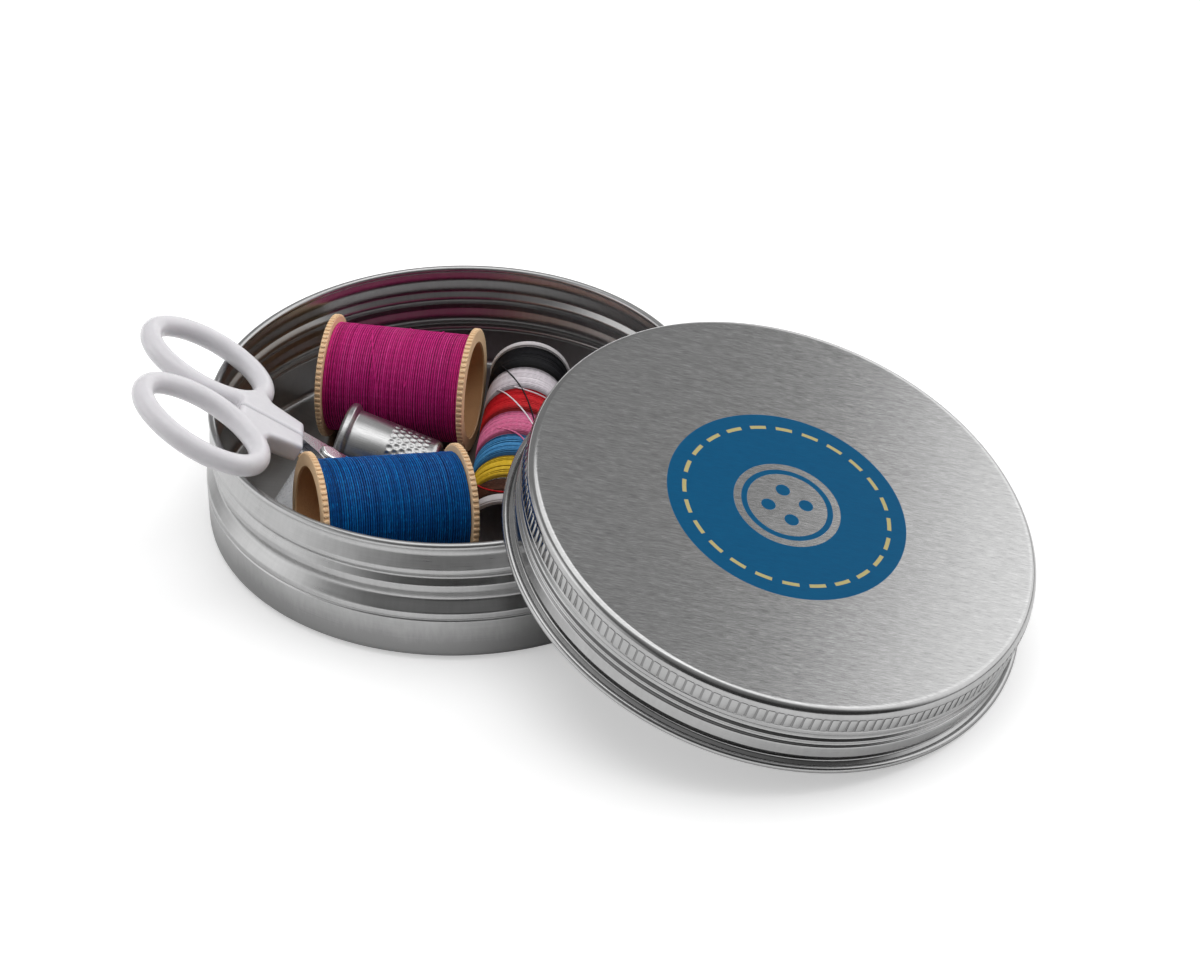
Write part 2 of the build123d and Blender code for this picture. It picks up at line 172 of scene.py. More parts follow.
def finished(name, parts, where, body, stands_for, crease=40.0, near_mm=0.0):
    """One piece from its (mesh, material) parts: outward faces, own coordinates kept, laid in its place.

    Edges sharper than crease degrees stay sharp, and points closer than near_mm are joined.
    """
    build = bmesh.new()
    materials = []
    for mesh, material in parts:
        if material not in materials:
            materials.append(material)
        old = len(build.faces)
        build.from_mesh(mesh)
        build.faces.ensure_lookup_table()
        for face in build.faces[old:]:
            face.material_index = materials.index(material)
            face.smooth = True
    if near_mm:
        bmesh.ops.remove_doubles(build, verts=build.verts[:], dist=near_mm)
    bmesh.ops.recalc_face_normals(build, faces=build.faces[:])
    final = bpy.data.meshes.new(name)
    build.to_mesh(final)
    build.free()
    for material in materials:
        final.materials.append(material)
    own = np.empty(len(final.vertices) * 3, np.float32)
    final.vertices.foreach_get("co", own)
    attribute = final.attributes.new("own", "FLOAT_VECTOR", "POINT")
    attribute.data.foreach_set("vector", own)
    final.transform(Matrix.Scale(MM, 4) @ where)
    final.set_sharp_from_angle(angle=math.radians(crease))
    piece = bpy.data.objects.new(name, final)
    bpy.context.scene.collection.objects.link(piece)
    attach(piece, body)
    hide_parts(*stands_for)


# ---- node trees ----
class Socket:
    """A value in a node tree. Arithmetic on it adds Math nodes."""

    def __init__(self, nodes, socket):
        self.nodes, self.socket = nodes, socket

    def out(self, name):
        return Socket(self.nodes, self.socket.node.outputs[name])

    def math(self, operation, *others):
        values = dict(enumerate((self, *others)))
        return self.nodes.add("ShaderNodeMath", {"operation": operation}, values)

    def swapped(self, operation, other):
        return self.nodes.add("ShaderNodeMath", {"operation": operation}, {0: other, 1: self})

    def __add__(self, other):
        return self.math("ADD", other)

    def __radd__(self, other):
        return self.math("ADD", other)

    def __sub__(self, other):
        return self.math("SUBTRACT", other)

    def __rsub__(self, other):
        return self.swapped("SUBTRACT", other)

    def __mul__(self, other):
        return self.math("MULTIPLY", other)

    def __rmul__(self, other):
        return self.math("MULTIPLY", other)

    def __truediv__(self, other):
        return self.math("DIVIDE", other)

    def between(self, low, high):
        """0 below low, 1 above high, and a smooth step from one to the other."""
        return self.nodes.add(
            "ShaderNodeMapRange",
            {"interpolation_type": "SMOOTHSTEP"},
            {"Value": self, "From Min": low, "From Max": high, "To Min": 0.0, "To Max": 1.0},
        )


class Nodes:
    """Adds nodes to a tree: first a node's settings, then its sockets' values or links."""

    def __init__(self, tree):
        self.tree = tree

    def add(self, kind, settings=None, sockets=None, output=0):
        node = self.tree.nodes.new(kind)
        for name, value in (settings or {}).items():
            setattr(node, name, value)
        for key, value in (sockets or {}).items():
            if isinstance(value, Socket):
                self.tree.links.new(value.socket, node.inputs[key])
            else:
                node.inputs[key].default_value = value
        return Socket(self, node.outputs[output]) if len(node.outputs) else node

    def mix(self, share, first, second):
        """A colour between two; a Mix node's colours are its sockets 6 and 7, and its output 2."""
        return self.add("ShaderNodeMix", {"data_type": "RGBA"}, {0: share, 6: first, 7: second}, 2)

    def vector(self, x, y, z=0.0):
        return self.add("ShaderNodeCombineXYZ", None, {0: x, 1: y, 2: z})

    def noise(self, at, scale=1.0, detail=3.0, roughness=0.55):
        sockets = {"Vector": at, "Scale": scale, "Detail": detail, "Roughness": roughness}
        return self.add("ShaderNodeTexNoise", None, sockets)


class Finish(Nodes):
    """A material with one Principled shader, and the piece's own coordinates to build on."""

    def __init__(self, name, **plain):
        self.material = bpy.data.materials.new(name)
        self.material.use_nodes = True
        super().__init__(self.material.node_tree)
        self.surface = self.tree.nodes["Principled BSDF"]
        self.own = self.add("ShaderNodeAttribute", {"attribute_name": "own"}, None, "Vector")
        apart = self.add("ShaderNodeSeparateXYZ", None, {0: self.own})
        self.x, self.y, self.z = (apart.out(axis) for axis in "XYZ")
        for socket, value in plain.items():
            self.set(socket.replace("_", " "), value)

    def set(self, socket, value):
        if isinstance(value, Socket):
            self.tree.links.new(value.socket, self.surface.inputs[socket])
        else:
            self.surface.inputs[socket].default_value = value
        return self

    def bump(self, height, distance):
        """A relief; the distance is in millimetres for a height of 1."""
        relief = {"Strength": 1.0, "Distance": distance * MM, "Height": height}
        return self.set("Normal", self.add("ShaderNodeBump", None, relief))

    def bearing(self):
        return self.y.math("ARCTAN2", self.x)

    def radius(self):
        return (self.x * self.x + self.y * self.y).math("SQRT")


def grey(level):
    return (level, level, level, 1.0)


# ---- growing trees for what repeats ----
def new_tree(name, inputs):
    """A geometry tree with named inputs."""
    tree = bpy.data.node_groups.new(name, "GeometryNodeTree")
    tree.interface.new_socket("Geometry", in_out="OUTPUT", socket_type="NodeSocketGeometry")
    for label, kind in inputs.items():
        tree.interface.new_socket(label, in_out="INPUT", socket_type="NodeSocket" + kind)
    nodes = Nodes(tree)
    given = nodes.add("NodeGroupInput")
    return nodes, {label: given.out(label) for label in inputs}


def close_tree(nodes, geometry, material):
    """Ends a tree in Realize Instances and Set Material."""
    real = nodes.add("GeometryNodeRealizeInstances", None, {"Geometry": geometry})
    painted = nodes.add("GeometryNodeSetMaterial", None, {"Geometry": real, "Material": material})
    nodes.add("NodeGroupOutput", None, {"Geometry": painted})


def winding_tree():
    """Thread wound round a core about Z: one long line through all its turns, given its thickness."""
    nodes, given = new_tree(
        "winding",
        {
            "Turns": "Int", "Steps": "Int", "Radius": "Float", "Width": "Float", "Thread": "Float",
            "Crown": "Float", "Wander": "Float", "Slant": "Float", "Seed": "Float", "Material": "Material",
        },
    )
    count = given["Turns"] * given["Steps"]
    line = nodes.add("GeometryNodeCurvePrimitiveLine")
    points = nodes.add("GeometryNodeResampleCurve", {"mode": "COUNT"}, {"Curve": line, "Count": count})
    index = nodes.add("GeometryNodeInputIndex")
    angle = index * TURN / given["Steps"]
    share = index / count
    loose = nodes.noise(nodes.vector(share * given["Turns"] * 0.9, given["Seed"]), 1.0, 1.0)
    drift = nodes.noise(nodes.vector(share * given["Turns"] * 0.35, given["Seed"], 7.0), 1.0, 0.0)
    edge = (share * 2.0 - 1.0).math("ABSOLUTE").math("POWER", 4.0)
    radius = given["Radius"] + (loose - 0.5) * given["Wander"] - edge * given["Crown"]
    lean = (angle + given["Seed"] + drift * 3.0).math("SINE") * given["Slant"]
    height = share * given["Width"] + lean + (drift - 0.5) * given["Wander"] * 2.0
    held = height.math("MAXIMUM", given["Thread"]).math("MINIMUM", given["Width"] - given["Thread"])
    at = nodes.vector(angle.math("COSINE") * radius, angle.math("SINE") * radius, held)
    wound = nodes.add("GeometryNodeSetPosition", None, {"Geometry": points, "Position": at})
    marked = nodes.add(
        "GeometryNodeStoreNamedAttribute",
        {"data_type": "FLOAT", "domain": "POINT"},
        {"Geometry": wound, "Name": "along", "Value": angle * given["Radius"]},
    )
    ring = nodes.add("GeometryNodeCurvePrimitiveCircle", None, {"Resolution": 5, "Radius": given["Thread"]})
    swept = {"Curve": marked, "Profile Curve": ring, "Fill Caps": True}
    tube = nodes.add("GeometryNodeCurveToMesh", None, swept)
    close_tree(nodes, tube, given["Material"])
    return nodes.tree


def ring_tree():
    """The same small rib set all round a circle about Z."""
    nodes, given = new_tree(
        "ring of ribs",
        {"Rib": "Object", "Count": "Int", "Radius": "Float", "Height": "Float", "Material": "Material"},
    )
    ring = nodes.add("GeometryNodeMeshCircle", None, {"Vertices": given["Count"], "Radius": given["Radius"]})
    offset = nodes.vector(0.0, 0.0, given["Height"])
    lifted = nodes.add("GeometryNodeSetPosition", None, {"Geometry": ring, "Offset": offset})
    rib = nodes.add("GeometryNodeObjectInfo", None, {"Object": given["Rib"]}).out("Geometry")
    index = nodes.add("GeometryNodeInputIndex")
    facing = nodes.vector(0.0, 0.0, index * TURN / given["Count"])
    ribs = {"Points": lifted, "Instance": rib, "Rotation": facing}
    placed = nodes.add("GeometryNodeInstanceOnPoints", None, ribs)
    close_tree(nodes, placed, given["Material"])
    return nodes.tree


def grown(tree, **inputs):
    """The plain mesh that a tree makes with these inputs."""
    carrier = bpy.data.objects.new("grown", bpy.data.meshes.new("grown"))
    bpy.context.scene.collection.objects.link(carrier)
    modifier = carrier.modifiers.new("grown", "NODES")
    modifier.node_group = tree
    for item in tree.interface.items_tree:
        if item.in_out == "INPUT":
            modifier[item.identifier] = inputs[item.name]
    evaluated = carrier.evaluated_get(bpy.context.evaluated_depsgraph_get())
    mesh = bpy.data.meshes.new_from_object(evaluated)
    bpy.data.objects.remove(carrier)
    return mesh


def rib_object(name, section_mesh):
    """An object for a tree to repeat; removed once it has been used."""
    rib = bpy.data.objects.new(name, section_mesh)
    bpy.context.scene.collection.objects.link(rib)
    return rib


def block(name, size, bevel, taper=1.0):
    """A small bevelled block about the origin; taper is its +X face's length along Z, as a share."""
    build = bmesh.new()
    bmesh.ops.create_cube(build, size=1.0)
    bmesh.ops.scale(build, vec=size, verts=build.verts[:])
    bmesh.ops.bevel(build, geom=build.edges[:], offset=bevel, segments=1, affect="EDGES", profile=0.5)
    face_x = size[0] / 2 - 0.001
    for corner in build.verts:
        if corner.co.x > face_x:
            corner.co.z *= taper
    mesh = bpy.data.meshes.new(name)
    build.to_mesh(mesh)
    build.free()
    return mesh


WINDING = winding_tree()
RING = ring_tree()


# ---- finishes ----
def rolled_metal(name, level, rough, dull_shaded_foot=0.0, streaked=0.35, knurl_gap_shade=0.0):
    """Drawn sheet: faint lines round the wall, a few handling marks, and towards the foot duller and darker,
    the darkening being painted shade.

    Where the ribs of a knurl stand, the spaces between them are painted darker: painted shade.
    """
    metal = Finish(name, Metallic=1.0)
    across = metal.vector(metal.bearing() * 3.0, metal.z * 14.0 + metal.radius() * 14.0)
    lines = metal.noise(across, 1.0, 2.0)
    streaks = metal.noise(metal.vector(metal.bearing() * 60.0, metal.z * 0.35), 1.0, 2.0)
    cloud = metal.noise(metal.own, 0.12, 2.0)
    # Painted shade: towards the foot the wall is darkened, and also made duller.
    foot = (1.0 - metal.z.between(0.0, 9.0)) * dull_shaded_foot
    shade = (lines - 0.5) * 0.5 + (streaks - 0.5) * streaked + (cloud - 0.5) * 0.5 - foot * 1.4 + 0.5
    # Painted shade: the spaces between the knurl's ribs are darkened.
    band = metal.z.between(9.2, 9.4) * (1.0 - metal.z.between(11.95, 12.15))
    painted_gap_shade = band * (1.0 - metal.radius().between(43.96, 44.03)) * knurl_gap_shade
    colour = metal.mix(shade, grey(level * 0.72), grey(level * 1.28))
    metal.set("Base Color", metal.mix(painted_gap_shade, colour, grey(level * 0.4)))
    metal.set("Roughness", rough + (lines - 0.5) * 0.10 + (cloud - 0.5) * 0.10 + foot * 0.08)
    metal.bump(lines * 0.5 + streaks * 0.3, 0.004)
    return metal.material


def printed_plate(name):
    """The lid's brushed top, with a generic sewing print: a blue disc, a stitched ring and a button."""
    plate = Finish(name)
    brushed_at = math.radians(33)
    along_x, along_y = math.cos(brushed_at), math.sin(brushed_at)
    along = plate.x * along_x + plate.y * along_y
    across = plate.y * along_x - plate.x * along_y
    fine = plate.noise(plate.vector(along * 0.55, across * 6.5), 1.0, 3.0, 0.6)
    broad = plate.noise(plate.vector(along * 0.16, across * 1.1), 1.0, 2.0)
    brush = fine * 0.75 + broad * 0.25
    radius = plate.radius()
    flat = 1.0 - radius.between(42.2, 43.0)
    top = plate.z.between(13.5, 13.7)
    sharp = 0.06
    blue_disc = (1.0 - radius.between(20.60, 20.70)) * top
    stitched = radius.between(17.30, 17.30 + sharp) * (1.0 - radius.between(18.00, 18.00 + sharp))
    dashes = (plate.bearing() * 24.0).math("SINE").between(-0.42, -0.34)
    thread = stitched * dashes
    button_rim = radius.between(7.90, 7.90 + sharp) * (1.0 - radius.between(9.20, 9.20 + sharp))
    button_face = 1.0 - radius.between(6.90, 6.90 + sharp)
    for hole_x, hole_y in ((-2.35, -2.35), (-2.35, 2.35), (2.35, -2.35), (2.35, 2.35)):
        dx, dy = plate.x - hole_x, plate.y - hole_y
        button_face = button_face * (dx * dx + dy * dy).math("SQRT").between(1.22, 1.22 + sharp)
    ink = blue_disc * (1.0 - (button_rim + button_face))
    metal_colour = plate.mix((brush - 0.32) * 2.8, grey(0.33), grey(0.57))
    blue = plate.mix((brush - 0.3) * 2.2, (0.0, 0.075, 0.185, 1), (0.0, 0.105, 0.235, 1))
    print_colour = plate.mix(thread, blue, (0.50, 0.43, 0.19, 1))
    plate.set("Base Color", plate.mix(ink, metal_colour, print_colour))
    plate.set("Metallic", 1.0 - ink)
    plate.set("Roughness", 0.15 + (brush - 0.5) * 0.14 + ink * 0.20)
    plate.set("Specular IOR Level", 0.08)
    plate.bump(brush * flat + ink * 0.25, 0.012)
    return plate.material


def cotton(name, crest, colour, dark, bright):
    """Wound cotton: a twisted yarn, uneven from turn to turn, with painted shade in the valleys under its
    crest and painted glints along its twist.
    """
    yarn = Finish(name)
    along = yarn.add("ShaderNodeAttribute", {"attribute_name": "along"}, None, "Fac")
    ply = (along * 8.0 + yarn.z * 11.0).math("SINE")
    fuzz = yarn.noise(yarn.own, 5.0, 3.0)
    tone = yarn.noise(yarn.vector(yarn.z * 2.6, along * 0.02), 1.0, 3.0)
    # Painted highlight: glints that lighten the yarn towards its bright colour.
    glint = yarn.noise(yarn.vector(yarn.z * 3.1, along * 1.1), 1.0, 1.0).between(0.52, 0.72)
    shade = (tone - 0.5) * 1.7 + (fuzz - 0.5) * 0.5 + ply * 0.05 + 0.5
    base = yarn.mix(shade.between(0.0, 0.5), (*dark, 1), (*colour, 1))
    lit = yarn.mix(shade.between(0.45, 1.0) * 0.6 + glint * 0.4, base, (*bright, 1))
    # Painted shade: the valleys between the turns are darkened.
    valley_shade = 1.0 - yarn.radius().between(crest - 0.21, crest - 0.04)
    shaded = tuple(part * 0.3 for part in dark)
    yarn.set("Base Color", yarn.mix(valley_shade * 0.85, lit, (*shaded, 1)))
    yarn.set("Roughness", 0.52 + (fuzz - 0.5) * 0.2)
    yarn.set("Specular IOR Level", 0.14)
    yarn.bump(ply * 0.12 + fuzz, 0.05)
    return yarn.material


def card(name, pale, deep):
    """Pressed card: short fibres, darker where it is handled."""
    paper = Finish(name)
    fibres = paper.noise(paper.own, 3.2, 4.0, 0.65)
    stain = paper.noise(paper.own, 0.35, 2.0)
    paper.set("Base Color", paper.mix(fibres * 0.55 + stain * 0.55, (*deep, 1), (*pale, 1)))
    paper.set("Roughness", 0.75 + (fibres - 0.5) * 0.2)
    paper.bump(fibres, 0.05)
    return paper.material


def moulded(name):
    """Off-white moulded plastic, slightly cloudy inside, with a fine orange-peel gloss."""
    plastic = Finish(name, IOR=1.49)
    cloud = plastic.noise(plastic.own, 0.5, 2.0)
    peel = plastic.noise(plastic.own, 2.4, 1.0)
    plastic.set("Base Color", plastic.mix(cloud, (0.69, 0.675, 0.705, 1), (0.78, 0.765, 0.79, 1)))
    plastic.set("Roughness", 0.24 + (peel - 0.5) * 0.12)
    plastic.set("Subsurface Weight", 0.25).set("Subsurface Scale", 1.2 * MM)
    plastic.set("Subsurface Radius", (1.0, 0.9, 0.95))
    plastic.bump(peel, 0.02)
    return plastic.material


def steel(name, level, rough):
    """Polished steel with straight grinding lines."""
    metal = Finish(name, Metallic=1.0)
    lines = metal.noise(metal.vector(metal.x * 0.6, metal.y * 6.0, metal.z * 6.0), 1.0, 3.0)
    metal.set("Base Color", metal.mix(lines, grey(level - 0.06), grey(level + 0.06)))
    metal.set("Roughness", rough + (lines - 0.5) * 0.1)
    metal.bump(lines, 0.01)
    return metal.material


def clear_film(name):
    """Clear packet plastic: see-through face on, brighter at its edges."""
    film = Finish(name, IOR=1.5, Roughness=0.12)
    edge = film.add("ShaderNodeLayerWeight", None, {"Blend": 0.35}, "Facing")
    wrinkle = film.noise(film.own, 0.6, 2.0) * 0.6 + film.noise(film.own, 1.7, 3.0) * 0.4
    film.set("Base Color", (0.88, 0.89, 0.91, 1)).set("Alpha", edge * 0.55 + wrinkle * 0.12 + 0.10)
    film.bump(wrinkle, 0.8)
    return film.material


TIN_METAL = rolled_metal("drawn_aluminium", level=0.41, rough=0.30, dull_shaded_foot=0.5)
TIN_INSIDE = rolled_metal("drawn_aluminium_inside", level=0.38, rough=0.32)
LID_METAL = rolled_metal("lid_aluminium", level=0.39, rough=0.17, knurl_gap_shade=0.7)
PLATE = printed_plate("brushed_printed_plate")
REEL_CARD = card("reel_card", (0.92, 0.66, 0.41), (0.82, 0.53, 0.29))
# Painted shade: a darker copy of the reel card, for inside the bores.
SHADED_BORE_CARD = card("reel_bore_card", (0.74, 0.43, 0.21), (0.56, 0.31, 0.14))
ROLL_CARD = card("roll_card", (0.74, 0.71, 0.72), (0.44, 0.41, 0.42))
PLASTIC = moulded("moulded_handle_plastic")
BLADE_STEEL = steel("ground_steel", level=0.50, rough=0.14)
RIVET_STEEL = steel("rivet_steel", level=0.74, rough=0.18)
THIMBLE_METAL = rolled_metal("thimble_metal", level=0.44, rough=0.30, streaked=1.6)
FILM = clear_film("clear_film")
REEL_CREST = 9.98
ROLL_CREST = 7.45
COTTON_SHADES = {  # the radius of the turns' crests, then the thread's own colour, its shade and its glint
    # Each shade colour is the thread's darker tone, and at 0.3 of it the painted shade in the valleys; each
    # glint colour serves both the lightest random tone and the painted highlights.
    "magenta": (REEL_CREST, (0.58, 0.016, 0.20), (0.26, 0.004, 0.085), (0.82, 0.07, 0.36)),
    "blue": (REEL_CREST, (0.001, 0.085, 0.34), (0.001, 0.022, 0.10), (0.003, 0.30, 0.80)),
    "brown": (ROLL_CREST, (0.080, 0.028, 0.015), (0.035, 0.013, 0.009), (0.17, 0.075, 0.045)),
    "yellow": (ROLL_CREST, (0.76, 0.50, 0.025), (0.46, 0.27, 0.010), (0.92, 0.68, 0.09)),
    "light_blue": (ROLL_CREST, (0.05, 0.24, 0.50), (0.02, 0.12, 0.30), (0.13, 0.40, 0.68)),
    "pink": (ROLL_CREST, (0.76, 0.17, 0.34), (0.48, 0.08, 0.18), (0.90, 0.34, 0.52)),
    "red": (ROLL_CREST, (0.60, 0.010, 0.018), (0.30, 0.004, 0.008), (0.80, 0.05, 0.05)),
    "white": (ROLL_CREST, (0.80, 0.74, 0.79), (0.58, 0.52, 0.58), (0.92, 0.88, 0.92)),
    "black": (ROLL_CREST, (0.010, 0.010, 0.012), (0.004, 0.004, 0.005), (0.03, 0.03, 0.035)),
}
COTTONS = {colour: cotton(colour + "_cotton", *shades) for colour, shades in COTTON_SHADES.items()}

# ---- tin ----
SHEET = 0.35
CURL = 0.65
tin_corners = [
    (0, 0), (44.7, 0), (44.7, 8.0), (44.45, 8.25), (44.7, 8.6), (44.7, 9.6),  # body and shoulder groove
    (43.0, 11.5), (43.05, 12.2), (43.6, 13.4), (43.65, 14.6), (42.85, 16.0),  # neck and lower ridge
    (43.65, 17.1), (43.65, 17.8), (42.5, 20.7), (42.9, 22.35),  # upper ridge and rim
]
tin_bends = [1.5, 0.3, 0.2, 0.3, 0.7, 0.8, 2.0, 1.0, 0.6, 0.5, 0.6, 0.8, 1.5]
tin_outside = bent(tin_corners, tin_bends, 6)
tin_inside = tin_outside[-1:] + beside(tin_outside, SHEET)[::-1]
finished(
    "tin",
    [
        (turned("tin outside", tin_outside, AROUND), TIN_METAL),
        (turned("tin inside", tin_inside, AROUND), TIN_INSIDE),
        (turned("tin rim", disc((42.95, 22.35), CURL), AROUND, closed=True), TIN_METAL),
    ],
    UPRIGHT, "tin", ["tin_base"], near_mm=0.001,
)

# ---- lid ----
FOLD = 0.45
LIP = (44.65, CURL)
PLATE_RADIUS = 42.6
lid_corners = [LIP] + waves(44.0, 43.5, ((1.9, 0.9), (5.8, 0.6), (7.5, 0.8)))[1:]
lid_corners += [(44.0, 9.05), (43.92, 9.20), (43.92, 13.8), (0, 13.8)]
lid_bends = [FOLD] * (len(lid_corners) - 5) + [0.12] * 2 + [1.5]
lid_outside = bent(lid_corners, lid_bends, 7)
lid_wall = [point for point in lid_outside if point[0] > PLATE_RADIUS]
lid_plate = [lid_wall[-1]] + [point for point in lid_outside if point[0] <= PLATE_RADIUS]
lid_inside = lid_plate[-1:] + beside(lid_outside, SHEET)[::-1] + lid_wall[:1]
knurl_rib = rib_object("knurl rib", block("knurl rib", (0.4, 1.14, 2.80), bevel=0.11, taper=0.86))
knurl = grown(RING, Rib=knurl_rib, Count=184, Radius=43.88, Height=10.66, Material=LID_METAL)
bpy.data.objects.remove(knurl_rib)
finished(
    "lid",
    [
        (turned("lid plate", lid_plate, AROUND), PLATE),
        (turned("lid wall", lid_wall, AROUND), LID_METAL),
        (turned("lid inside", lid_inside, AROUND), TIN_INSIDE),
        (turned("lid lip", disc(LIP, CURL), AROUND, closed=True), LID_METAL),
        (knurl, LID_METAL),
    ],
    LID_PLACE, "lid", ["lid_shell"], near_mm=0.001,
)


# ---- reels ----
FLANGE = 1.1
FLANGE_RADIUS = 11.05
FLANGE_EDGE = 0.1
CORE_RADIUS = 9.3


def reel(name, where, body, node):
    """Two toothed flanges on a tube, all pressed card; the tube's darker card is painted shade inside the
    bore.
    """
    parts = []
    tooth = rib_object("flange tooth", block("flange tooth", (0.5, 0.62, 1.0), bevel=0.14))
    rounded = FLANGE_RADIUS - FLANGE_EDGE
    for low in (0.0, REEL_LENGTH - FLANGE):
        high = low + FLANGE
        section = [(8.9, low), (rounded, low), (FLANGE_RADIUS, low + FLANGE_EDGE)]
        section += [(FLANGE_RADIUS, high - FLANGE_EDGE), (rounded, high), (8.9, high)]
        flange = supported([Vector(p) for p in section])
        teeth = grown(
            RING, Rib=tooth, Count=70, Radius=FLANGE_RADIUS, Height=low + FLANGE / 2, Material=REEL_CARD
        )
        parts.append((turned("flange", flange, 160, closed=True), REEL_CARD))
        parts.append((teeth, REEL_CARD))
    start, end = 0.25, REEL_LENGTH - 0.25
    core = [(8.7, start), (CORE_RADIUS, start), (CORE_RADIUS, end), (8.7, end)]
    # Painted shade: the tube is a darker card than the flanges, for the shade inside the bore.
    parts.append((turned("core", core, 96, closed=True), SHADED_BORE_CARD))
    bpy.data.objects.remove(tooth)
    finished(name, parts, where, body, [node])


def strand(stations):
    """A loose end lying on its winding, through stations of (bearing in degrees, height, radius)."""
    line = bpy.data.curves.new("strand", "CURVE")
    line.dimensions, line.use_fill_caps = "3D", True
    line.bevel_depth, line.bevel_resolution = 0.13, 2
    spline = line.splines.new("NURBS")
    spline.points.add(len(stations) - 1)
    for point, (bearing, height, radius) in zip(spline.points, stations):
        angle = math.radians(bearing)
        point.co = (radius * math.cos(angle), radius * math.sin(angle), height, 1.0)
    spline.order_u = 3
    spline.use_endpoint_u = True
    carrier = bpy.data.objects.new("strand", line)
    bpy.context.scene.collection.objects.link(carrier)
    mesh = bpy.data.meshes.new_from_object(carrier.evaluated_get(bpy.context.evaluated_depsgraph_get()))
    bpy.data.objects.remove(carrier)
    return mesh


def wound(name, where, body, node, slot, colour, band, turns, crown, slant, seed, strands=()):
    """Thread wound on a core; band is its start, width, outer radius and core radius.

    Each of the strands is a loose end's (bearing, height) stations on it.
    """
    start, width, radius, core = band
    thread = 0.19
    cloth = COTTONS[colour]
    line = grown(
        WINDING, Turns=turns, Steps=40, Radius=radius - thread, Width=width, Thread=thread, Crown=crown,
        Wander=0.14, Slant=slant, Seed=seed, Material=cloth,
    )
    line.transform(Matrix.Translation((0, 0, start)))
    bed = radius - 0.24
    under = [(core, start), (bed - crown, start), (bed, start + width * 0.2), (bed, start + width * 0.8)]
    under += [(bed - crown, start + width), (core, start + width)]
    parts = [(turned("under", under, 64, closed=True), cloth), (line, cloth)]
    for stations in strands:
        parts.append((strand([(bearing, height, radius + 0.05) for bearing, height in stations]), cloth))
    finished(name, parts, where, body, [node])


REEL_BAND = (1.12, 24.96, REEL_CREST, CORE_RADIUS)
MAGENTA_STRANDS = (
    ((84, 8.3), (98, 8.7), (114, 9.5), (136, 10.5), (154, 11.2), (176, 11.4)),
    ((52, 14.0), (80, 15.9), (112, 18.1), (146, 19.2), (170, 19.4)),
    ((60, 20.6), (88, 19.3), (120, 17.2), (150, 16.2)),
)
BLUE_STRANDS = (
    ((60, 7.1), (84, 8.6), (112, 10.6), (140, 11.5), (164, 11.7)),
    ((66, 19.0), (96, 17.6), (126, 16.8), (156, 16.5)),
)
reel("magenta_reel", MAGENTA_PLACE, "magenta_reel", "spool_magenta")
reel("blue_reel", BLUE_PLACE, "blue_reel", "spool_blue")
wound(
    "magenta_thread", MAGENTA_PLACE, "magenta_reel", "thread_magenta", "magenta_thread", "magenta",
    REEL_BAND, turns=62, crown=0.0, slant=0.05, seed=1.0, strands=MAGENTA_STRANDS,
)
wound(
    "blue_thread", BLUE_PLACE, "blue_reel", "thread_blue", "blue_thread", "blue",
    REEL_BAND, turns=62, crown=0.0, slant=0.05, seed=5.0, strands=BLUE_STRANDS,
)

# ---- banded roll ----
TUBE_RADIUS = 7.0
tube_section = [(6.4, 0.0), (TUBE_RADIUS, 0.0), (TUBE_RADIUS, ROLL_LENGTH), (6.4, ROLL_LENGTH)]
far_wrap = [(TUBE_RADIUS, 48.32), (7.40, 48.32), (7.56, 48.55), (7.60, 48.95)]
far_wrap += [(7.50, 49.30), (7.25, 49.50), (TUBE_RADIUS, 49.50)]
near_wrap = [(TUBE_RADIUS, 0.20), (7.22, 0.25), (7.34, 0.60), (7.36, 1.20), (7.30, 1.80), (TUBE_RADIUS, 1.85)]
finished(
    "roll_card_tube",
    [
        (turned("tube", tube_section, 96, closed=True), ROLL_CARD),
        (turned("far wrap", far_wrap, 96, closed=True), ROLL_CARD),
        (turned("near wrap", near_wrap, 96, closed=True), ROLL_CARD),
    ],
    ROLL_PLACE, "thread_roll", ["roll_tube"],
)
BAND_WIDTHS = {
    "brown": 5.0, "yellow": 6.6, "light_blue": 6.4, "pink": 7.2, "red": 7.3, "white": 7.0, "black": 6.9,
}
BAND_STRANDS = {
    "black": (
        ((52, 43.0), (60, 41.1), (77, 37.1), (93, 32.8), (106, 28.0), (118, 22.7), (132, 17.5), (146, 14.6)),
    ),
    "white": (
        ((50, 35.6), (62, 33.8), (78, 30.7), (94, 27.4), (107, 24.6), (117, 22.4), (131, 19.2)),
        ((78, 34.5), (92, 33.5), (108, 33.1), (124, 33.0), (142, 33.6)),
    ),
    "pink": (((60, 22.6), (72, 21.5), (85, 20.5), (96, 19.4), (106, 17.8), (118, 15.6)),),
    "red": (((46, 6.4), (54, 4.9), (66, 3.3), (80, 2.2), (96, 2.0)),),
}
TURN_PITCH = 0.36
band_start = 1.9
for number, (colour, width) in enumerate(BAND_WIDTHS.items()):
    band = (band_start, width, ROLL_CREST, TUBE_RADIUS)
    wound(
        colour + "_band", ROLL_PLACE, "thread_roll", "band_" + colour, colour + "_thread", colour,
        band, turns=round(width / TURN_PITCH), crown=0.22, slant=0.28, seed=2.0 + number,
        strands=BAND_STRANDS.get(colour, ()),
    )
    band_start += width


# ---- thimble ----
CONE_RADIUS = 6.43
CONE_TAPER = 0.0625
CONE_FOOT, CONE_TOP = 8.6, 16.5


def dimple_depth(angle, height):
    """How deep the surface is pressed in at a place on the cone, in rows of round dimples."""
    first_row, row_pitch, rows, count = 9.4, 1.18, 6, 32
    row = round((height - first_row) / row_pitch)
    if row < 0 or row >= rows:
        return 0.0
    shift = 0.5 * (row % 2)
    around = (angle / TURN * count - shift) % 1.0
    across = min(around, 1 - around) * TURN * 6.3 / count
    away = math.hypot(across, height - first_row - row * row_pitch)
    return 0.17 * max(0.0, 1 - (away / 0.56) ** 2)


